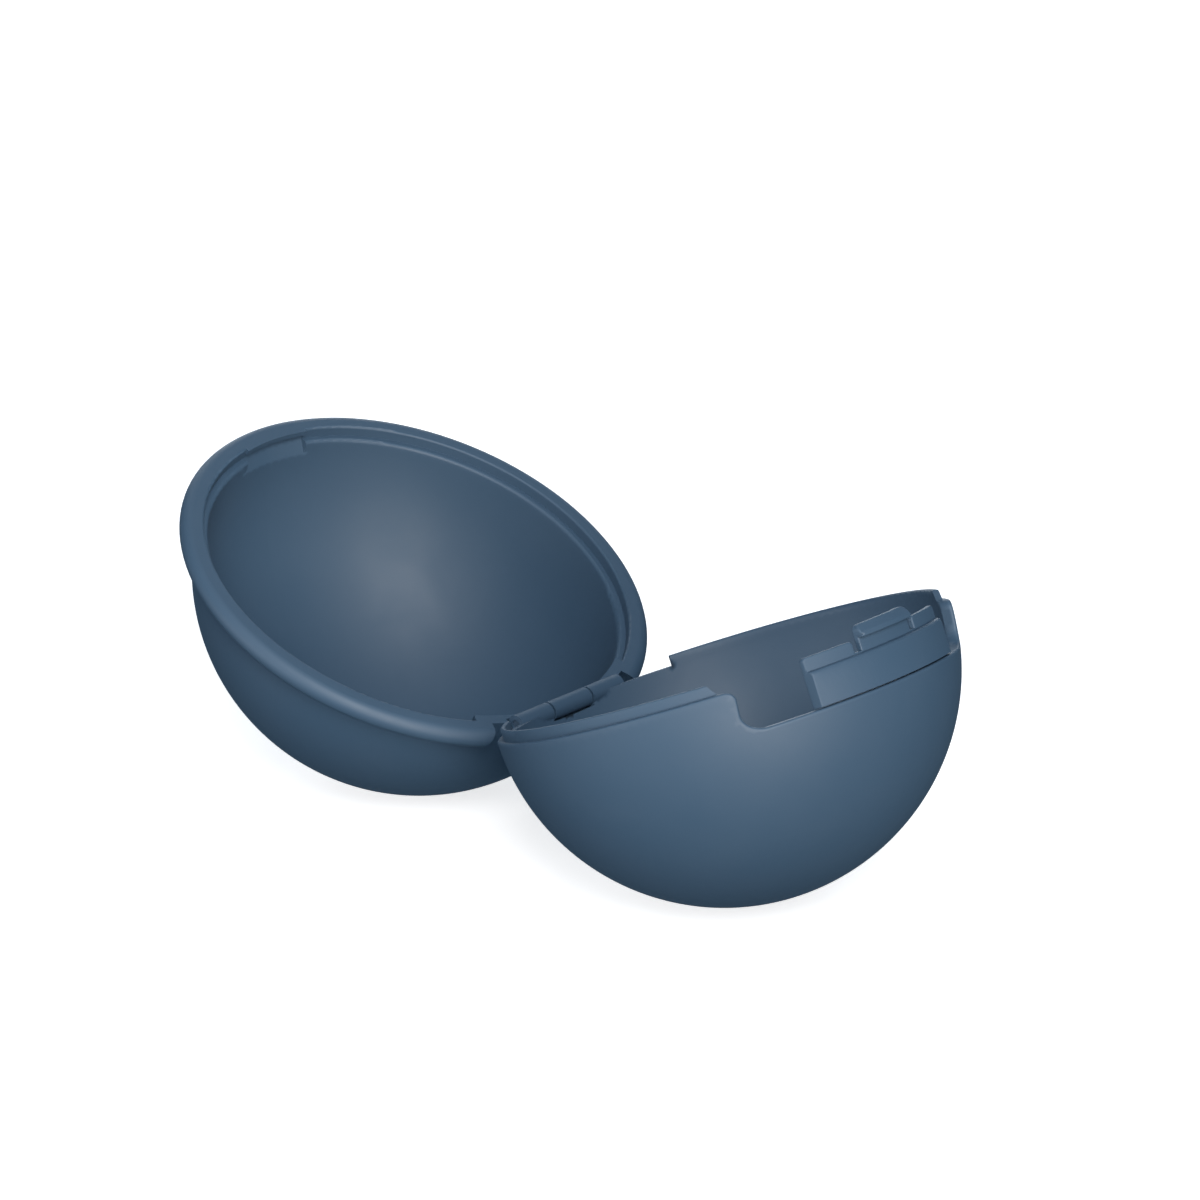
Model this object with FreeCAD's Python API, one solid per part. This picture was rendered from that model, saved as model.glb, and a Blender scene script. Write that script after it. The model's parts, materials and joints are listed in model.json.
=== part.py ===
"""A ball-shaped carry case of two hinged bowls, lying open on its two round backs.

The case is drawn closed about the centre of the ball: +Z is up through the lid, +X points to the latch, and
the rims meet at z = 0. The lid is then swung open about its hinge, and the pair is tipped so that both bowls
stand on z = 0, as they lie on a table. All lengths are in millimetres and all angles in degrees.
"""
import FreeCAD
import Part
import math
import os

Vector = FreeCAD.Vector
ORIGIN = Vector(0, 0, 0)
X_AXIS = Vector(1, 0, 0)
Y_AXIS = Vector(0, 1, 0)
Z_AXIS = Vector(0, 0, 1)

# Bowls
bowl_radius = 28.0
wall = 1.4
rim_round = 0.3

# Lip that stands up round the base's rim
lip_thickness = 0.65
lip_height = 1.35
lip_round = 0.25
lip_hinge_angle = 33.0

# Gaps of the closed case
rim_gap = 0.15
lip_gap = 0.22

# Proud flange round the lid's rim
flange_proud = 2.2
flange_height = 2.7
flange_hinge_angle = 24.5
flange_end_slant = 28.0

# Rebate in the lid's rim, which takes the base's lip, and the ledge above it
rebate_round = 0.3
ledge_round = 0.45

# Window in the front of the base
window_half_width = 19.45
window_depth = 5.2
window_corner = 2.4
window_shoulder = 1.1
window_round = 0.25
lip_end_slope = 0.6

# Latch tab that stands in the window
tab_half_width = 11.8
tab_setback = 0.65
tab_thickness = 1.45
tab_round = 0.2
shoulder_drop = 0.8
shoulder_round = 0.55
upstand_thickness = 0.75
lug_height = 0.85
lug_round = 0.5
hook_half_width = 4.45
hook_height = 2.4
hook_round = 0.8
slit_width = 0.9
slit_depth = 1.45
nose_reach = 0.7
nose_bottom = 0.95
nose_flat = 0.5
root_gap = 0.2
root_setback = 3.0
press_angle = 4.0

# Catch in the lid: a lip for the hook's nose, and a notch with a sloping floor for the hook
catch_side_gap = 0.7
catch_front_gap = 0.25
catch_lip_gap = 0.45
catch_lip_top_gap = 0.15
notch_depth = 3.2

# Hinge
hinge_inset = 0.9
barrel_radius = 1.2
pin_radius = 0.6
pin_press_gap = 0.01
pin_running_gap = 0.05
pin_end_inset = 0.2
lid_knuckle_half_length = 3.3
base_knuckle_length = 5.6
knuckle_end_gap = 0.3
knuckle_clearance = 0.25
stop_gap = 0.16

# Pose
open_angle = 131.3

# Sizes that follow
inner_radius = bowl_radius - wall
mid_radius = bowl_radius - wall / 2
lip_inner = inner_radius
lip_outer = lip_inner + lip_thickness
rebate_outer = lip_outer + lip_gap
rebate_top = lip_height + lip_gap
flange_radius = bowl_radius + flange_proud
tab_front = bowl_radius - tab_setback
tab_back = tab_front - tab_thickness
tab_foot = root_gap - window_depth
upstand_front = tab_back + upstand_thickness
slit_bottom = lug_height - slit_depth
nose_front = upstand_front + nose_reach
nose_top = nose_bottom + nose_flat
catch_half_width = hook_half_width + catch_side_gap
catch_lip_front = upstand_front + catch_lip_gap
catch_lip_top = nose_bottom - catch_lip_top_gap
hinge_offset = bowl_radius - hinge_inset
knuckle_inner_y = lid_knuckle_half_length + knuckle_end_gap
knuckle_outer_y = knuckle_inner_y + base_knuckle_length
tilt = (180.0 - open_angle) / 2
beyond = 3 * bowl_radius
same_place = 0.001
edge_samples = 5
bowl_reach = hinge_offset * math.cos(math.radians(tilt))


def line(start, end):
    """Straight edge between two (r, z) points of a section."""
    return Part.LineSegment(Vector(start[0], 0, start[1]), Vector(end[0], 0, end[1])).toShape()


def on_circle(centre, radius, angle):
    """The (r, z) point of a circle at an angle."""
    turn = math.radians(angle)
    return centre[0] + radius * math.cos(turn), centre[1] + radius * math.sin(turn)


def corner(centre, radius, start, end):
    """Round edge about a centre in a section, from one angle to another."""
    points = [on_circle(centre, radius, angle) for angle in (start, (start + end) / 2, end)]
    return Part.Arc(*[Vector(r, 0, z) for r, z in points]).toShape()


def section(edges):
    """Face of a section: the given edges in order, joined by straight lines where they don't meet."""
    outline = []
    for edge, following in zip(edges, edges[1:] + edges[:1]):
        outline.append(edge)
        here = edge.lastVertex(True).Point
        there = following.firstVertex(True).Point
        if not here.isEqual(there, 1e-6):
            outline.append(Part.LineSegment(here, there).toShape())
    return Part.Face(Part.Wire(outline))


def polygon(points):
    """Face of a section with straight sides only."""
    corners = [Vector(r, 0, z) for r, z in points]
    return Part.Face(Part.makePolygon(corners + corners[:1]))


def turned(face, start=-180.0, end=180.0):
    """Solid made by turning a section about Z, from one angle to another."""
    first = face.copy()
    first.rotate(ORIGIN, Z_AXIS, start)
    return first.revolve(ORIGIN, Z_AXIS, end - start)


def front_prism(face):
    """Solid that carries a (y, z) outline forwards along X. The outline is drawn in the (r, z) plane."""
    outline = face.copy()
    outline.rotate(ORIGIN, Z_AXIS, 90)
    return outline.extrude(X_AXIS * beyond)


def front_strip(half_width):
    """Everything in front of the middle, within a half width of it."""
    return Part.makeBox(beyond, 2 * half_width, 2 * beyond, Vector(0, -half_width, -beyond))


def above(height):
    """Everything above a height."""
    return Part.makeBox(2 * beyond, 2 * beyond, beyond, Vector(-beyond, -beyond, height))


def hinge_cylinder(radius, low_y, high_y):
    """Cylinder on the hinge axis."""
    return Part.makeCylinder(radius, high_y - low_y, Vector(-hinge_offset, low_y, 0), Y_AXIS)


def mirrored(shape):
    """The same shape on the other side of the case, across y = 0."""
    return shape.mirror(ORIGIN, Y_AXIS)


def base_lip():
    """Lip that stands on the rim, from one side of the hinge round the front to the other side."""
    lip = section([
        line((lip_inner, -wall), (lip_outer, -wall)),
        corner((lip_outer - lip_round, lip_height - lip_round), lip_round, 0, 90),
        corner((lip_inner + lip_round, lip_height - lip_round), lip_round, 90, 180),
    ])
    return turned(lip, lip_hinge_angle - 180, 180 - lip_hinge_angle).common(above(-rim_round)).cut(window())


def window():
    """Cutter for the front window: round lower corners, round shoulders and sloping ends for the lip."""
    side = window_half_width
    floor = -window_depth
    ledge = side + window_shoulder
    lip_end = ledge + lip_end_slope
    return front_prism(section([
        corner((side - window_corner, floor + window_corner), window_corner, 270, 360),
        corner((ledge, -window_shoulder), window_shoulder, 180, 90),
        line((lip_end, lip_height), (lip_end, 2 * lip_height)),
        line((-lip_end, 2 * lip_height), (-lip_end, lip_height)),
        corner((-ledge, -window_shoulder), window_shoulder, 90, 0),
        corner((window_corner - side, floor + window_corner), window_corner, 180, 270),
    ]))


def runs_on_ball(edge, radius):
    """Whether an edge near the base's rim lies on a ball about the origin."""
    if edge.Degenerated or edge.BoundBox.ZMin < -2 * window_depth:
        return False
    return all(abs(point.Length - radius) < same_place for point in edge.discretize(edge_samples))


def base_bowl():
    """Lower bowl with its front window, rounded along the outer edge of rim and window."""
    bowl = Part.makeSphere(bowl_radius).cut(Part.makeSphere(inner_radius)).cut(above(0))
    bowl = bowl.cut(window()).removeSplitter()
    return bowl.makeFillet(rim_round, [edge for edge in bowl.Edges if runs_on_ball(edge, bowl_radius)])


def past_stop(lean):
    """Everything behind a flat stop face, which runs through the hinge and leans back by an angle."""
    behind = Part.makeBox(beyond, 2 * beyond, 2 * beyond, Vector(-beyond, -beyond, -beyond))
    behind.translate(X_AXIS * (stop_gap / 2 - hinge_offset))
    behind.rotate(Vector(-hinge_offset, 0, 0), Y_AXIS, lean)
    return behind


def base_shell():
    """Lower bowl with its lip, front window, stop face and hinge knuckles."""
    bowl = base_bowl().fuse(base_lip()).removeSplitter()
    bowl = bowl.makeFillet(window_round, [
        edge for edge in bowl.Edges if runs_on_ball(edge, inner_radius) and edge.BoundBox.ZMin < -same_place])
    bowl = bowl.cut(past_stop(tilt))
    bowl = bowl.cut(hinge_cylinder(barrel_radius + knuckle_clearance, -knuckle_inner_y, knuckle_inner_y))
    knuckle = hinge_cylinder(barrel_radius, knuckle_inner_y, knuckle_outer_y)
    bowl = bowl.fuse([knuckle, mirrored(knuckle)])
    bore = hinge_cylinder(pin_radius + pin_press_gap, -knuckle_outer_y, knuckle_outer_y)
    return bowl.cut(bore).removeSplitter()


def tab_outline():
    """Outline of the latch tab seen from the front, carried along X: two lugs and the hook between slits."""
    lug_inner = hook_half_width + slit_width
    lug_centre_z = lug_height - lug_round
    hook_centre = (hook_half_width - hook_round, hook_height - hook_round)
    return front_prism(section([
        corner((tab_half_width - lug_round, lug_centre_z), lug_round, 0, 90),
        corner((lug_inner + lug_round, lug_centre_z), lug_round, 90, 180),
        line((lug_inner, slit_bottom), (hook_half_width, slit_bottom)),
        corner(hook_centre, hook_round, 0, 90),
        corner((-hook_centre[0], hook_centre[1]), hook_round, 90, 180),
        line((-hook_half_width, slit_bottom), (-lug_inner, slit_bottom)),
        corner((-lug_inner - lug_round, lug_centre_z), lug_round, 0, 90),
        corner((lug_round - tab_half_width, lug_centre_z), lug_round, 90, 180),
        line((-tab_half_width, tab_foot), (tab_half_width, tab_foot)),
    ]))


def is_level(edge, height):
    """Whether an edge lies level at a height."""
    box = edge.BoundBox
    return abs(box.ZMin - height) < same_place and abs(box.ZMax - height) < same_place


def runs_on_drum(edge, radius):
    """Whether an edge lies on an upright drum about Z."""
    return all(
        abs(math.hypot(point.x, point.y) - radius) < same_place for point in edge.discretize(edge_samples))


def is_soft(edge):
    """Whether an edge of the latch tab is rounded. The foot, inner corners and the nose's hold stay sharp."""
    if is_level(edge, tab_foot):
        return False
    if runs_on_drum(edge, tab_back):
        return True
    if runs_on_drum(edge, nose_front):
        return is_level(edge, nose_top)
    if runs_on_drum(edge, upstand_front):
        return not any(is_level(edge, height) for height in (-shoulder_drop, slit_bottom, nose_bottom))
    return abs(edge.CenterOfMass.y) > tab_half_width - same_place and edge.BoundBox.ZLength > tab_round


def latch_tab():
    """Springy front wall between the two slots: a shoulder, an upstand with lugs, and a hook with its nose."""
    profile = section([
        line((tab_back, tab_foot), (tab_front, tab_foot)),
        corner((tab_front - shoulder_round, -shoulder_drop - shoulder_round), shoulder_round, 0, 90),
        line((upstand_front, -shoulder_drop), (upstand_front, nose_bottom)),
        line((nose_front, nose_bottom), (nose_front, nose_top)),
        line((upstand_front, hook_height), (tab_back, hook_height)),
    ])
    tab = turned(profile, -60, 60).common(tab_outline()).removeSplitter()
    return tab.makeFillet(tab_round, [edge for edge in tab.Edges if is_soft(edge)])


def lid_flange():
    """Half-round flange on the lid's rim, with slanted ends short of the hinge."""
    half = flange_height / 2
    ring = turned(section([
        corner((flange_radius - half, rim_gap + half), half, -90, 90),
        line((mid_radius, rim_gap + flange_height), (mid_radius, rim_gap)),
    ]))
    past_end = Part.makeBox(2 * beyond, beyond, 2 * beyond, Vector(-beyond, 0, -beyond))
    past_end.rotate(ORIGIN, X_AXIS, flange_end_slant)
    past_end.rotate(ORIGIN, Z_AXIS, 180 - flange_hinge_angle)
    behind = Part.makeBox(beyond, 2 * beyond, 2 * beyond, Vector(-beyond, -beyond, -beyond))
    return ring.cut(past_end.common(mirrored(past_end)).common(behind))


def lid_rebate():
    """Cutter for the rebate in the lid's rim that takes the base's lip, with round edges."""
    past_lip = (flange_hinge_angle + lip_hinge_angle) / 2
    ledge_z = rebate_top + ledge_round
    ledge_r = math.sqrt((inner_radius + ledge_round) ** 2 - ledge_z ** 2)
    ledge_end = 180 + math.degrees(math.atan2(ledge_z, ledge_r))
    hollow = inner_radius - wall
    return turned(section([
        line((hollow, -wall), (rebate_outer + rebate_round, -wall)),
        corner((rebate_outer + rebate_round, rim_gap + rebate_round), rebate_round, 270, 180),
        line((rebate_outer, rebate_top), (ledge_r, rebate_top)),
        corner((ledge_r, ledge_z), ledge_round, 270, ledge_end),
        line((hollow, rebate_top), (hollow, -wall)),
    ]), past_lip - 180, 180 - past_lip)


def catch_lip():
    """Lip on the inside of the flange, which the hook's nose goes over."""
    lip = polygon([
        (catch_lip_front, rim_gap), (rebate_outer + wall, rim_gap), (rebate_outer + wall, catch_lip_top),
        (catch_lip_front, catch_lip_top)])
    return turned(lip, -60, 60).common(front_strip(catch_half_width))


def catch_notch():
    """Cutter for the room that the hook and its nose need, above the catch's lip and in the ledge."""
    notch_front = nose_front + catch_front_gap
    notch_end = math.sqrt(inner_radius ** 2 - notch_depth ** 2)
    hollow = inner_radius - wall
    room = polygon([
        (hollow, -wall),
        (catch_lip_front, -wall),
        (catch_lip_front, catch_lip_top),
        (notch_front, catch_lip_top),
        (notch_front, rebate_top),
        (notch_end, notch_depth),
        (hollow, notch_depth),
    ])
    return turned(room, -60, 60).common(front_strip(catch_half_width))


def lid_shell():
    """Upper bowl with its flange, rebate, catch, stop face and hinge knuckle."""
    bowl = Part.makeSphere(bowl_radius).cut(Part.makeSphere(inner_radius)).common(above(rim_gap))
    bowl = bowl.fuse(lid_flange()).cut(lid_rebate()).cut(past_stop(-tilt))
    bowl = bowl.fuse(catch_lip()).cut(catch_notch())
    notch = hinge_cylinder(
        barrel_radius + knuckle_clearance, lid_knuckle_half_length, knuckle_outer_y + knuckle_end_gap)
    bowl = bowl.cut([notch, mirrored(notch)])
    bowl = bowl.fuse(hinge_cylinder(barrel_radius, -lid_knuckle_half_length, lid_knuckle_half_length))
    bore = hinge_cylinder(pin_radius + pin_running_gap, -lid_knuckle_half_length, lid_knuckle_half_length)
    return bowl.cut(bore).removeSplitter()


def hinge_pin():
    """Pin through the three knuckles, with its ends a little inside them."""
    end_y = knuckle_outer_y - pin_end_inset
    return hinge_cylinder(pin_radius, -end_y, end_y)


def opened(shape):
    """A copy of the shape, swung open with the lid."""
    moved = shape.copy()
    moved.rotate(Vector(-hinge_offset, 0, 0), Y_AXIS, -open_angle)
    return moved


def laid_down(point):
    """A point of the closed drawing, in the pose where both bowls stand on the table."""
    return FreeCAD.Rotation(Y_AXIS, -tilt).multVec(point) + Vector(bowl_reach, 0, bowl_radius)


def place(shape):
    """A copy of the shape, tipped and set down so that both bowls stand on the table."""
    moved = shape.copy()
    moved.rotate(ORIGIN, Y_AXIS, -tilt)
    moved.translate(laid_down(ORIGIN))
    return moved


pieces = {
    "base_shell": base_shell(),
    "latch_tab": latch_tab(),
    "hinge_pin": hinge_pin(),
    "lid_shell": opened(lid_shell()),
}

os.makedirs("parts", exist_ok=True)
for name, shape in pieces.items():
    placed = place(shape)
    placed.exportStep(f"parts/{name}.step")
    print(name, "solids", len(placed.Solids), "valid", placed.isValid(), "volume", round(placed.Volume, 2))

print("lid hinge at", laid_down(Vector(-hinge_offset, 0, 0)), "swing", open_angle)
print("latch root at", laid_down(Vector(tab_front - root_setback, 0, -window_depth)), "press", press_angle)
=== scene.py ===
"""Looks of a ball-shaped carry case: two hinged bowls, a springy latch tab and a hinge pin.

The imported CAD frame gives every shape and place. Each piece here is the finished skin of one CAD node: its
loose triangles are merged and refined, the points that lie on the ball are rounded to the true ball, the
exact normals of the CAD faces are kept, and a moulded-plastic material is put on. Lengths are in metres and
angles in degrees.
"""
import json
import logging
import math
from dataclasses import dataclass, field
from enum import Enum

import bpy
from mathutils import Matrix, Vector

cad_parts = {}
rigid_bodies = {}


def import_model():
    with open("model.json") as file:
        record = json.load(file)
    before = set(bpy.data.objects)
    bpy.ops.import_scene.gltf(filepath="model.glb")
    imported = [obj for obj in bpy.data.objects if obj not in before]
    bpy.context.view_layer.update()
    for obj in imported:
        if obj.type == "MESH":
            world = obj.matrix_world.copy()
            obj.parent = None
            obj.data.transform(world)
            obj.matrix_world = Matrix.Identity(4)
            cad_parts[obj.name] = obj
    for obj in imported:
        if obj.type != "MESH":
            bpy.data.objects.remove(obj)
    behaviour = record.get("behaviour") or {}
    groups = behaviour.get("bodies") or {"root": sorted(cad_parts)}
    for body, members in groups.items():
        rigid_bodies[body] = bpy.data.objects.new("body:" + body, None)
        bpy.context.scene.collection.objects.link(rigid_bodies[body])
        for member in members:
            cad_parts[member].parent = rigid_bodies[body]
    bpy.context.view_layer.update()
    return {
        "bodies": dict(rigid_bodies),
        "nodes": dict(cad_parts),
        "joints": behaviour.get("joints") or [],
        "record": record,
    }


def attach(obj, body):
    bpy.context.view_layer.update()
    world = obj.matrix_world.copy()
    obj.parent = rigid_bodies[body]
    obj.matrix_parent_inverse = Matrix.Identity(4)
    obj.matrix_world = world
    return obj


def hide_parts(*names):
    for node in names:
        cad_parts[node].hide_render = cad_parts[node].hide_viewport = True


LOG = logging.getLogger("case")
MILLIMETRE = 0.001
BALL_RADIUS = 28.0 * MILLIMETRE
RIGHT_ANGLE = 90.0

Colour = tuple[float, float, float]
WHITE: Colour = (1.0, 1.0, 1.0)


def opaque(colour: Colour) -> tuple[float, float, float, float]:
    """Returns a colour with full cover, as colour sockets want it."""
    return (*colour, 1.0)


class Body(Enum):
    """The bodies that move on their own."""

    BASE = "base"
    LID = "lid"
    LATCH = "latch"


class Slot(Enum):
    """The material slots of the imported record."""

    SHELL = "shell"
    PIN = "pin"


class SkinInput(Enum):
    """Named inputs of the skin tree."""

    MERGE = "Merge distance"
    REFINE = "Refine level"
    CENTRE = "Ball centre"
    OUTER = "Outer radius"
    INNER = "Inner radius"
    REACH = "Ball reach"
    MATERIAL = "Material"


@dataclass(frozen=True)
class CaseLayout:
    """Places of the open case, worked out from the lid's hinge.

    Attributes:
        base_centre: Centre of the base's ball.
        lid_centre: Centre of the lid's ball.
    """

    base_centre: Vector
    lid_centre: Vector

    @classmethod
    def from_frame(cls, frame: dict) -> "CaseLayout":
        """Works the layout out. Both balls stand on the table, and the hinge lies between their rims.


        Returns:
            The layout of the open case.
        """
        hinge = next(joint for joint in frame["joints"] if joint["name"] == "lid_hinge")
        swing = math.radians(hinge["range_deg"][1])
        tilt = (math.pi - swing) / 2
        reach = (BALL_RADIUS - hinge["pos_m"][2]) / math.tan(tilt)
        return cls(Vector((reach, 0, BALL_RADIUS)), Vector((-reach, 0, BALL_RADIUS)))


class NodeTree:
    """Thin helper that adds and joins the nodes of one tree."""

    def __init__(self, tree: bpy.types.NodeTree) -> None:
        """Keeps the tree that the nodes go into."""
        self.tree = tree

    def add(self, kind: str, values: dict | None = None, **settings: object) -> bpy.types.Node:
        """Adds a node.

        Args:
            kind: Blender's name for the node type.
            values: Input values by socket name or number.
            settings: Properties of the node.

        Returns:
            The new node.
        """
        node = self.tree.nodes.new(kind)
        for name, value in settings.items():
            setattr(node, name, value)
        for socket, value in (values or {}).items():
            node.inputs[socket].default_value = value
        return node

    def join(self, source: bpy.types.NodeSocket, target: bpy.types.NodeSocket) -> None:
        """Joins an output socket to an input socket."""
        self.tree.links.new(source, target)

    def math(self, operation: str, first: bpy.types.NodeSocket,
             second: bpy.types.NodeSocket | float | None = None) -> bpy.types.NodeSocket:
        """Adds a Math node.

        Args:
            operation: Blender's name for the operation.
            first: First operand.
            second: Second operand, a socket or a plain number.

        Returns:
            The node's output socket.
        """
        node = self.add("ShaderNodeMath", operation=operation)
        self.join(first, node.inputs[0])
        if isinstance(second, bpy.types.NodeSocket):
            self.join(second, node.inputs[1])
        elif second is not None:
            node.inputs[1].default_value = second
        return node.outputs[0]

    def blend(self, share: bpy.types.NodeSocket, low: Colour, high: Colour) -> bpy.types.NodeSocket:
        """Adds a Mix node between two colours.

        Args:
            share: Share of the second colour.
            low: First linear colour.
            high: Second linear colour.

        Returns:
            The node's colour output.
        """
        node = self.add("ShaderNodeMix", data_type="RGBA")
        inputs = {socket.identifier: socket for socket in node.inputs}
        outputs = {socket.identifier: socket for socket in node.outputs}
        inputs["A_Color"].default_value = opaque(low)
        inputs["B_Color"].default_value = opaque(high)
        self.join(share, inputs["Factor_Float"])
        return outputs["Result_Color"]


class SkinTree:
    """Geometry Nodes tree that turns a CAD node's loose triangles into a finished moulded skin.

    Attributes:
        WHOLLY: Mark above which a refined point lies between points that are all on the ball.
    """

    WHOLLY: float = 0.99

    def __init__(self) -> None:
        """Builds the tree once, for every piece."""
        self.group = bpy.data.node_groups.new("moulded_skin", "GeometryNodeTree")
        self._make_sockets()
        self._make_nodes()

    def _make_sockets(self) -> None:
        """Gives the tree its named inputs and its output."""
        interface = self.group.interface
        interface.new_socket("Geometry", in_out="INPUT", socket_type="NodeSocketGeometry")
        for item, kind in (
            (SkinInput.MERGE, "NodeSocketFloat"),
            (SkinInput.REFINE, "NodeSocketInt"),
            (SkinInput.CENTRE, "NodeSocketVector"),
            (SkinInput.OUTER, "NodeSocketFloat"),
            (SkinInput.INNER, "NodeSocketFloat"),
            (SkinInput.REACH, "NodeSocketFloat"),
            (SkinInput.MATERIAL, "NodeSocketMaterial"),
        ):
            interface.new_socket(item.value, in_out="INPUT", socket_type=kind)
        interface.new_socket("Geometry", in_out="OUTPUT", socket_type="NodeSocketGeometry")

    def _make_nodes(self) -> None:
        """Lays out the kept normals, merge, refine, rounding to the ball and material, in that order."""
        nodes = NodeTree(self.group)
        given = nodes.add("NodeGroupInput").outputs
        facing = nodes.add("GeometryNodeInputNormal").outputs["Normal"]
        mesh, normal = self._capture(nodes, given["Geometry"], facing, "CORNER", "VECTOR")
        merge = nodes.add("GeometryNodeMergeByDistance")
        nodes.join(mesh, merge.inputs["Geometry"])
        nodes.join(given[SkinInput.MERGE.value], merge.inputs["Distance"])
        mesh = merge.outputs["Geometry"]
        marks = []
        for radius in (SkinInput.OUTER, SkinInput.INNER):
            offset, near = self._offset_to_ball(nodes, given, radius)
            mesh, mark = self._capture(nodes, mesh, near, "POINT", "FLOAT")
            marks.append((offset, mark))
        refine = nodes.add("GeometryNodeSubdivideMesh")
        nodes.join(mesh, refine.inputs["Mesh"])
        nodes.join(given[SkinInput.REFINE.value], refine.inputs["Level"])
        mesh = refine.outputs["Mesh"]
        for offset, mark in marks:
            move = nodes.add("GeometryNodeSetPosition")
            nodes.join(mesh, move.inputs["Geometry"])
            nodes.join(nodes.math("GREATER_THAN", mark, self.WHOLLY), move.inputs["Selection"])
            nodes.join(offset, move.inputs["Offset"])
            mesh = move.outputs["Geometry"]
        shade = nodes.add("GeometryNodeSetMeshNormal", mode="FREE", domain="CORNER")
        nodes.join(mesh, shade.inputs["Mesh"])
        nodes.join(normal, shade.inputs["Custom Normal"])
        realize = nodes.add("GeometryNodeRealizeInstances")
        nodes.join(shade.outputs["Mesh"], realize.inputs["Geometry"])
        dress = nodes.add("GeometryNodeSetMaterial")
        nodes.join(realize.outputs["Geometry"], dress.inputs["Geometry"])
        nodes.join(given[SkinInput.MATERIAL.value], dress.inputs["Material"])
        result = nodes.add("NodeGroupOutput")
        nodes.join(dress.outputs["Geometry"], result.inputs["Geometry"])

    @staticmethod
    def _capture(nodes: NodeTree, mesh: bpy.types.NodeSocket, value: bpy.types.NodeSocket, domain: str,
                 kind: str) -> tuple[bpy.types.NodeSocket, bpy.types.NodeSocket]:
        """Stores a value on the mesh as it is now, for use after the mesh has changed.

        Args:
            nodes: Helper of the tree.
            mesh: Mesh that the value is stored on.
            value: The value.
            domain: Blender's name for where it is stored.
            kind: Blender's name for its type.

        Returns:
            The mesh with the value on it, and the stored value.
        """
        capture = nodes.add("GeometryNodeCaptureAttribute", domain=domain)
        capture.capture_items.new(kind, "Value")
        nodes.join(mesh, capture.inputs["Geometry"])
        nodes.join(value, capture.inputs["Value"])
        return capture.outputs["Geometry"], capture.outputs["Value"]

    @staticmethod
    def _offset_to_ball(nodes: NodeTree, given: bpy.types.bpy_prop_collection,
                        radius: SkinInput) -> tuple[bpy.types.NodeSocket, bpy.types.NodeSocket]:
        """Works out how far a point is from a ball, and whether it lies on it.

        Args:
            nodes: Helper of the tree.
            given: Outputs of the group's input node.
            radius: Which of the two radii.

        Returns:
            The way from a point to the ball, and a mark that is 1 where the point lies on the ball.
        """
        place = nodes.add("GeometryNodeInputPosition")
        arm = nodes.add("ShaderNodeVectorMath", operation="SUBTRACT")
        nodes.join(place.outputs[0], arm.inputs[0])
        nodes.join(given[SkinInput.CENTRE.value], arm.inputs[1])
        length = nodes.add("ShaderNodeVectorMath", operation="LENGTH")
        nodes.join(arm.outputs[0], length.inputs[0])
        short = nodes.math("SUBTRACT", given[radius.value], length.outputs["Value"])
        near = nodes.math("LESS_THAN", nodes.math("ABSOLUTE", short), given[SkinInput.REACH.value])
        unit = nodes.add("ShaderNodeVectorMath", operation="NORMALIZE")
        nodes.join(arm.outputs[0], unit.inputs[0])
        step = nodes.add("ShaderNodeVectorMath", operation="SCALE")
        nodes.join(unit.outputs[0], step.inputs[0])
        nodes.join(short, step.inputs["Scale"])
        return step.outputs[0], near

    def finish(self, piece: bpy.types.Object, values: dict[SkinInput, object]) -> None:
        """Turns a bare piece into its finished skin, as a plain mesh.

        Args:
            piece: A bare copy of a CAD node.
            values: A value for each input of the tree.
        """
        bare = piece.data
        modifier = piece.modifiers.new("skin", "NODES")
        modifier.node_group = self.group
        identifiers = {item.name: item.identifier for item in self.group.interface.items_tree
                       if item.in_out == "INPUT"}
        for item, value in values.items():
            modifier[identifiers[item.value]] = value
        graph = bpy.context.evaluated_depsgraph_get()
        finished = bpy.data.meshes.new_from_object(piece.evaluated_get(graph), depsgraph=graph)
        piece.modifiers.remove(modifier)
        piece.data = finished
        bpy.data.meshes.remove(bare)


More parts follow.
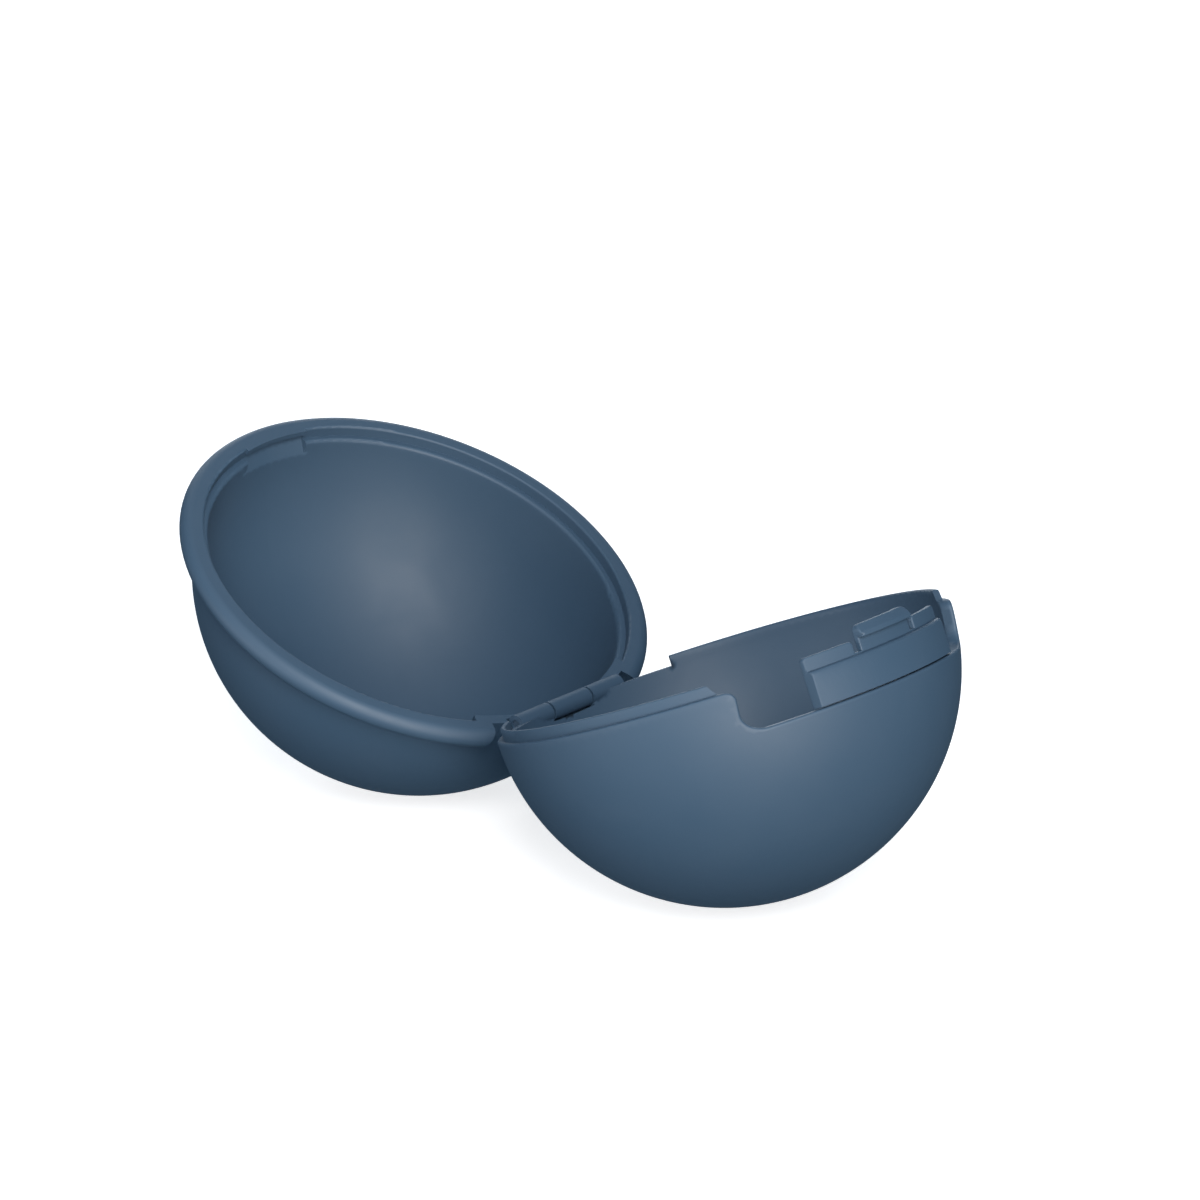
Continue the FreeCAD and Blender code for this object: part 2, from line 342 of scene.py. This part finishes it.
class ShaderGroups:
    """Shader node groups that the plastics share.

    Attributes:
        FINE_PER_PIT: Fineness of the noise that breaks up the pits, as a multiple of theirs.
        RUBS_PER_CLOUD: Fineness of the polished patches, as a multiple of the clouds'.
        FINE_NOISE: Settings of the noise that breaks up the pits.
        CLOUD_NOISE: Settings of the colour's clouds.
        RUB_NOISE: Settings of the polished patches.
    """

    FINE_PER_PIT: float = 1.7
    RUBS_PER_CLOUD: float = 3.1
    FINE_NOISE: dict[str, float] = {"Detail": 3.0, "Roughness": 0.6}
    CLOUD_NOISE: dict[str, float] = {"Detail": 2.0, "Roughness": 0.45}
    RUB_NOISE: dict[str, float] = {"Detail": 4.0, "Roughness": 0.55, "Distortion": 0.4}

    def __init__(self) -> None:
        """Builds each group once."""
        self.grain = self._build_grain()
        self.drift = self._build_drift()

    @staticmethod
    def _new(name: str, inputs: list[tuple[str, str]],
             outputs: list[tuple[str, str]]) -> bpy.types.NodeTree:
        """Makes an empty group with its sockets.

        Args:
            name: Name of the group.
            inputs: Name and type of each input.
            outputs: Name and type of each output.

        Returns:
            The new group.
        """
        group = bpy.data.node_groups.new(name, "ShaderNodeTree")
        for label, kind in inputs:
            group.interface.new_socket(label, in_out="INPUT", socket_type=kind)
        for label, kind in outputs:
            group.interface.new_socket(label, in_out="OUTPUT", socket_type=kind)
        return group

    def _build_grain(self) -> bpy.types.NodeTree:
        """Builds the fine pitted texture of an eroded mould: a height and a mask of its pits.

        Returns:
            The new group.
        """
        group = self._new(
            "mould_grain",
            [("Vector", "NodeSocketVector"), ("Pits per metre", "NodeSocketFloat")],
            [("Height", "NodeSocketFloat"), ("Pits", "NodeSocketFloat")])
        nodes = NodeTree(group)
        given = nodes.add("NodeGroupInput").outputs
        pits = nodes.add("ShaderNodeTexVoronoi", {"Randomness": 1.0}, feature="SMOOTH_F1")
        nodes.join(given["Vector"], pits.inputs["Vector"])
        nodes.join(given["Pits per metre"], pits.inputs["Scale"])
        fine = nodes.add("ShaderNodeTexNoise", self.FINE_NOISE)
        nodes.join(given["Vector"], fine.inputs["Vector"])
        fineness = nodes.math("MULTIPLY", given["Pits per metre"], self.FINE_PER_PIT)
        nodes.join(fineness, fine.inputs["Scale"])
        depth = nodes.math("MULTIPLY", pits.outputs["Distance"], fine.outputs["Fac"])
        result = nodes.add("NodeGroupOutput")
        nodes.join(depth, result.inputs["Height"])
        nodes.join(fine.outputs["Fac"], result.inputs["Pits"])
        return group

    def _build_drift(self) -> bpy.types.NodeTree:
        """Builds the slow cloudy change over a moulding: a mask for its colour and one for its polish.

        Returns:
            The new group.
        """
        group = self._new(
            "colour_drift",
            [("Vector", "NodeSocketVector"), ("Clouds per metre", "NodeSocketFloat")],
            [("Tint", "NodeSocketFloat"), ("Polish", "NodeSocketFloat")])
        nodes = NodeTree(group)
        given = nodes.add("NodeGroupInput").outputs
        clouds = nodes.add("ShaderNodeTexNoise", self.CLOUD_NOISE)
        nodes.join(given["Vector"], clouds.inputs["Vector"])
        nodes.join(given["Clouds per metre"], clouds.inputs["Scale"])
        rubs = nodes.add("ShaderNodeTexNoise", self.RUB_NOISE)
        nodes.join(given["Vector"], rubs.inputs["Vector"])
        fineness = nodes.math("MULTIPLY", given["Clouds per metre"], self.RUBS_PER_CLOUD)
        nodes.join(fineness, rubs.inputs["Scale"])
        result = nodes.add("NodeGroupOutput")
        nodes.join(clouds.outputs["Fac"], result.inputs["Tint"])
        nodes.join(rubs.outputs["Fac"], result.inputs["Polish"])
        return group


@dataclass(frozen=True)
class MouldedPlastic:
    """Matte moulded plastic.

    Attributes:
        name: Name of the material.
        deep: Linear colour of the darker clouds.
        pale: Linear colour of the paler clouds.
        roughness: Lowest and highest roughness.
        specular: Specular level of the shader.
        pits_per_metre: Fineness of the mould's grain.
        grain_depth: Height of the grain in metres.
        clouds_per_metre: Fineness of the slow colour drift.
        drift_share: Share of the drift in the colour; the grain has the rest.
        polish_span: Values of the polish mask between which the roughness runs.
    """

    name: str
    deep: Colour
    pale: Colour
    roughness: tuple[float, float]
    specular: float
    pits_per_metre: float
    grain_depth: float
    clouds_per_metre: float
    drift_share: float = 0.7
    polish_span: tuple[float, float] = (0.3, 0.7)

    def material(self, groups: ShaderGroups) -> bpy.types.Material:
        """Builds the material.

        Args:
            groups: The shared shader groups.

        Returns:
            The new material.
        """
        material = bpy.data.materials.new(self.name)
        material.use_nodes = True
        nodes = NodeTree(material.node_tree)
        shader = material.node_tree.nodes["Principled BSDF"]
        shader.inputs["Specular IOR Level"].default_value = self.specular
        place = nodes.add("ShaderNodeTexCoord").outputs["Object"]
        grain = nodes.add("ShaderNodeGroup", node_tree=groups.grain)
        grain.inputs["Pits per metre"].default_value = self.pits_per_metre
        drift = nodes.add("ShaderNodeGroup", node_tree=groups.drift)
        drift.inputs["Clouds per metre"].default_value = self.clouds_per_metre
        for group in (grain, drift):
            nodes.join(place, group.inputs["Vector"])
        self._colour(nodes, shader, drift, grain)
        self._gloss(nodes, shader, drift)
        bump = nodes.add("ShaderNodeBump", {"Strength": 1.0, "Distance": self.grain_depth})
        nodes.join(grain.outputs["Height"], bump.inputs["Height"])
        nodes.join(bump.outputs["Normal"], shader.inputs["Normal"])
        return material

    def _colour(self, nodes: NodeTree, shader: bpy.types.Node, drift: bpy.types.Node,
                grain: bpy.types.Node) -> None:
        """Drifts between the deep and the pale colour, with the grain's pits a little deeper.

        Args:
            nodes: Helper of the material's tree.
            shader: The Principled shader.
            drift: The drift group in this material.
            grain: The grain group in this material.
        """
        clouds = nodes.math("MULTIPLY", drift.outputs["Tint"], self.drift_share)
        pits = nodes.math("MULTIPLY", grain.outputs["Pits"], 1.0 - self.drift_share)
        share = nodes.math("ADD", clouds, pits)
        nodes.join(nodes.blend(share, self.deep, self.pale), shader.inputs["Base Color"])

    def _gloss(self, nodes: NodeTree, shader: bpy.types.Node, drift: bpy.types.Node) -> None:
        """Lets the roughness follow where hands have polished the plastic.

        Args:
            nodes: Helper of the material's tree.
            shader: The Principled shader.
            drift: The drift group in this material.
        """
        low, high = self.roughness
        dull, polished = self.polish_span
        span = nodes.add("ShaderNodeMapRange", {
            "From Min": dull, "From Max": polished, "To Min": high, "To Max": low})
        nodes.join(drift.outputs["Polish"], span.inputs["Value"])
        nodes.join(span.outputs["Result"], shader.inputs["Roughness"])


SLATE_SHELL = MouldedPlastic(
    name="slate_shell_plastic",
    deep=(0.039, 0.081, 0.135),
    pale=(0.046, 0.092, 0.150),
    roughness=(0.55, 0.65),
    specular=0.72,
    pits_per_metre=5200.0,
    grain_depth=6e-6,
    clouds_per_metre=45.0,
)

SLATE_PIN = MouldedPlastic(
    name="slate_pin_plastic",
    deep=(0.055, 0.088, 0.132),
    pale=(0.066, 0.103, 0.152),
    roughness=(0.32, 0.42),
    specular=0.5,
    pits_per_metre=9000.0,
    grain_depth=2e-6,
    clouds_per_metre=120.0,
)


class PlasticShelf:
    """Makes each plastic's material once and hands it out."""

    def __init__(self) -> None:
        """Starts with the shared shader groups and no materials."""
        self.groups = ShaderGroups()
        self.made: dict[MouldedPlastic, bpy.types.Material] = {}

    def get(self, finish: MouldedPlastic) -> bpy.types.Material:
        """Hands out the material of a finish, and makes it first where it is new.

        Args:
            finish: The plastic's finish.

        Returns:
            Its material.
        """
        if finish not in self.made:
            self.made[finish] = finish.material(self.groups)
        return self.made[finish]


@dataclass
class SubAssembly:
    """The pieces of one body. Each is the finished skin of a CAD node.

    Attributes:
        layout: Places of the open case.
        body: Body that the pieces ride on.
        wall: Thickness of the bowls' wall.
        refine: How many times each triangle is split.
        merge: Distance within which loose points are one.
        ball_reach: How far from the ball a point may be to count as lying on it.
        pieces: The pieces made so far, by the name of their CAD node.
    """

    layout: CaseLayout
    body: Body
    wall: float = 1.4 * MILLIMETRE
    refine: int = 1
    merge: float = 0.002 * MILLIMETRE
    ball_reach: float = 0.002 * MILLIMETRE
    pieces: dict[str, bpy.types.Object] = field(default_factory=dict)

    def copy_node(self, frame: dict, node: str) -> None:
        """Makes a bare piece from a CAD node, which isn't changed.

        Args:
            node: Name of the CAD node.
        """
        mesh = frame["nodes"][node].data.copy()
        mesh.materials.clear()
        piece = bpy.data.objects.new(f"{node}_skin", mesh)
        bpy.context.scene.collection.objects.link(piece)
        self.pieces[node] = piece

    def put_on(self, tree: SkinTree, node: str, centre: Vector, slot: Slot,
               material: bpy.types.Material) -> None:
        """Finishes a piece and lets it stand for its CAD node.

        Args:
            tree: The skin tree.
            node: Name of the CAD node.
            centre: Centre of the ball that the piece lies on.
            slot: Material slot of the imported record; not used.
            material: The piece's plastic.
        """
        piece = self.pieces[node]
        tree.finish(piece, {
            SkinInput.MERGE: self.merge,
            SkinInput.REFINE: self.refine,
            SkinInput.CENTRE: centre,
            SkinInput.OUTER: BALL_RADIUS,
            SkinInput.INNER: BALL_RADIUS - self.wall,
            SkinInput.REACH: self.ball_reach,
            SkinInput.MATERIAL: material,
        })
        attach(piece, self.body.value)
        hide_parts(node)
        LOG.info("%s: %d faces", piece.name, len(piece.data.polygons))


@dataclass
class BaseAssembly(SubAssembly):
    """The lower bowl, and the hinge pin that its knuckles hold."""

    body: Body = Body.BASE

    def build(self, frame: dict) -> None:
        """Makes the bare bowl and pin from the frame."""
        self.copy_node(frame, "base_shell")
        self.copy_node(frame, "hinge_pin")

    def dress(self, tree: SkinTree, shelf: PlasticShelf) -> None:
        """Gives the bowl its grained plastic and the pin its smoother one.

        Args:
            tree: The skin tree.
            shelf: Where the plastics come from.
        """
        centre = self.layout.base_centre
        self.put_on(tree, "base_shell", centre, Slot.SHELL, shelf.get(SLATE_SHELL))
        self.put_on(tree, "hinge_pin", centre, Slot.PIN, shelf.get(SLATE_PIN))


@dataclass
class LidAssembly(SubAssembly):
    """The upper bowl with its flange and catch."""

    body: Body = Body.LID

    def build(self, frame: dict) -> None:
        """Makes the bare bowl from the frame."""
        self.copy_node(frame, "lid_shell")

    def dress(self, tree: SkinTree, shelf: PlasticShelf) -> None:
        """Gives the bowl its grained plastic."""
        self.put_on(tree, "lid_shell", self.layout.lid_centre, Slot.SHELL, shelf.get(SLATE_SHELL))


@dataclass
class LatchAssembly(SubAssembly):
    """The springy latch tab."""

    body: Body = Body.LATCH

    def build(self, frame: dict) -> None:
        """Makes the bare tab from the frame."""
        self.copy_node(frame, "latch_tab")

    def dress(self, tree: SkinTree, shelf: PlasticShelf) -> None:
        """Gives the tab the same plastic as the bowls."""
        self.put_on(tree, "latch_tab", self.layout.base_centre, Slot.SHELL, shelf.get(SLATE_SHELL))


@dataclass(frozen=True)
class PhotoCamera:
    """Camera at the photograph's view.

    Attributes:
        image_px: Side of the square image.
        focal_px: Focal length in pixels.
        sensor: Width of the sensor in Blender's millimetres.
        azimuth: Angle round the object, from the front.
        elevation: Angle above the table.
        roll: Turn about the line of sight.
        ball_px: Where the centre of the base's ball appears.
        distance: Distance of that centre along the line of sight, in ball radii.
        clip: Nearest and farthest distance that is drawn.
    """

    image_px: float = 1200.0
    focal_px: float = 5500.0
    sensor: float = 36.0
    azimuth: float = 41.36
    elevation: float = 20.96
    roll: float = 0.68
    ball_px: tuple[float, float] = (723.8, 670.1)
    distance: float = 23.152
    clip: tuple[float, float] = (0.01, 20.0)

    def axes(self) -> Matrix:
        """Works out the image's right, its top and the way back to the camera.

        Returns:
            The three directions, as a matrix's columns.
        """
        turn = Matrix.Rotation(math.radians(self.azimuth), 3, "Z")
        rise = Matrix.Rotation(math.radians(RIGHT_ANGLE - self.elevation), 3, "X")
        return turn @ rise @ Matrix.Rotation(math.radians(self.roll), 3, "Z")

    def build(self, layout: CaseLayout) -> None:
        """Sets the camera up.

        Args:
            layout: Places of the open case.
        """
        data = bpy.data.cameras.new("photo_camera")
        data.sensor_width = self.sensor
        data.lens = self.focal_px / self.image_px * self.sensor
        data.clip_start, data.clip_end = self.clip
        camera = bpy.data.objects.new("photo_camera", data)
        bpy.context.scene.collection.objects.link(camera)
        axes = self.axes()
        depth = self.distance * BALL_RADIUS
        across = (self.ball_px[0] - self.image_px / 2) / self.focal_px * depth
        down = (self.ball_px[1] - self.image_px / 2) / self.focal_px * depth
        place = layout.base_centre - axes @ Vector((across, -down, -depth))
        camera.matrix_world = Matrix.Translation(place) @ axes.to_4x4()
        bpy.context.scene.camera = camera


@dataclass(frozen=True)
class Softbox:
    """One soft area light, aimed at the middle of the case.

    Attributes:
        name: Name of the light.
        azimuth: Angle round the object, from the front.
        elevation: Angle above the table.
        distance: Distance from the middle of the case.
        size: Side of the square light.
        power: Power in watts.
        colour: Linear colour.
    """

    name: str
    azimuth: float
    elevation: float
    distance: float
    size: float
    power: float
    colour: Colour = WHITE

    def build(self, target: Vector) -> None:
        """Places the light.

        Args:
            target: Point that the light faces.
        """
        data = bpy.data.lights.new(self.name, "AREA")
        data.size = self.size
        data.energy = self.power
        data.color = self.colour
        light = bpy.data.objects.new(self.name, data)
        bpy.context.scene.collection.objects.link(light)
        turn = math.radians(self.azimuth)
        rise = math.radians(self.elevation)
        back = Vector((math.sin(turn) * math.cos(rise), -math.cos(turn) * math.cos(rise), math.sin(rise)))
        light.location = target + back * self.distance
        light.rotation_mode = "QUATERNION"
        light.rotation_quaternion = (-back).to_track_quat("-Z", "Y")


@dataclass(frozen=True)
class Studio:
    """Pale floor, soft lights and an even pale surround.

    Attributes:
        floor_size: Side of the floor.
        floor_drop: How far the floor lies under the case.
        floor_colour: Linear colour of the floor.
        floor_roughness: Roughness of the floor.
        floor_specular: Specular level of the floor.
        floor_glow: Light that the floor gives to the camera alone, as a lit table does.
        surround: Linear colour of the surround.
        surround_power: Strength of the surround.
    """

    floor_size: float = 12.0
    floor_drop: float = 0.05 * MILLIMETRE
    floor_colour: Colour = (0.86, 0.86, 0.86)
    floor_roughness: float = 0.9
    floor_specular: float = 0.1
    floor_glow: float = 0.72
    surround: Colour = (0.4, 0.7, 1.0)
    surround_power: float = 0.18

    def build(self, target: Vector, lights: tuple[Softbox, ...]) -> None:
        """Makes the floor, the lights and the surround.

        Args:
            target: Point that the lights face.
            lights: The soft lights.
        """
        half = self.floor_size / 2
        corners = [(-half, -half, -self.floor_drop), (half, -half, -self.floor_drop),
                   (half, half, -self.floor_drop), (-half, half, -self.floor_drop)]
        mesh = bpy.data.meshes.new("floor")
        mesh.from_pydata(corners, [], [(0, 1, 2, 3)])
        mesh.materials.append(self._floor_material())
        floor = bpy.data.objects.new("floor", mesh)
        bpy.context.scene.collection.objects.link(floor)
        floor.visible_diffuse = False
        floor.visible_glossy = False
        for light in lights:
            light.build(target)
        self._light_surround()

    def _floor_material(self) -> bpy.types.Material:
        """Makes the floor's plain matte material.

        Returns:
            The new material.
        """
        material = bpy.data.materials.new("pale_floor")
        material.use_nodes = True
        shader = material.node_tree.nodes["Principled BSDF"]
        shader.inputs["Base Color"].default_value = opaque(self.floor_colour)
        shader.inputs["Roughness"].default_value = self.floor_roughness
        shader.inputs["Specular IOR Level"].default_value = self.floor_specular
        shader.inputs["Emission Color"].default_value = opaque(WHITE)
        shader.inputs["Emission Strength"].default_value = self.floor_glow
        return material

    def _light_surround(self) -> None:
        """Gives the world an even pale light."""
        world = bpy.data.worlds.new("surround")
        world.use_nodes = True
        background = world.node_tree.nodes["Background"]
        background.inputs["Color"].default_value = opaque(self.surround)
        background.inputs["Strength"].default_value = self.surround_power
        bpy.context.scene.world = world


LIGHTS = (
    Softbox("key_softbox", azimuth=48.0, elevation=38.0, distance=1.2, size=0.5, power=10.0),
    Softbox("low_softbox", azimuth=60.0, elevation=4.0, distance=1.2, size=0.5, power=13.0,
            colour=(1.0, 0.92, 0.84)),
    Softbox("side_softbox", azimuth=-22.0, elevation=5.0, distance=1.2, size=0.5, power=5.0),
    Softbox("back_softbox", azimuth=225.0, elevation=12.0, distance=1.2, size=0.8, power=6.0,
            colour=(0.85, 0.93, 1.0)),
    Softbox("top_softbox", azimuth=0.0, elevation=88.0, distance=1.2, size=0.9, power=1.5),
)


def main() -> None:
    """Builds the pieces, the studio and the camera, in that order."""
    logging.basicConfig(level=logging.INFO, format="%(name)s: %(message)s")
    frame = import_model()
    layout = CaseLayout.from_frame(frame)
    tree = SkinTree()
    shelf = PlasticShelf()
    for assembly in (BaseAssembly(layout), LidAssembly(layout), LatchAssembly(layout)):
        assembly.build(frame)
        assembly.dress(tree, shelf)
    Studio().build((layout.base_centre + layout.lid_centre) / 2, LIGHTS)
    PhotoCamera().build(layout)
    bpy.context.scene.view_settings.view_transform = "Standard"


if __name__ == "__main__":
    main()
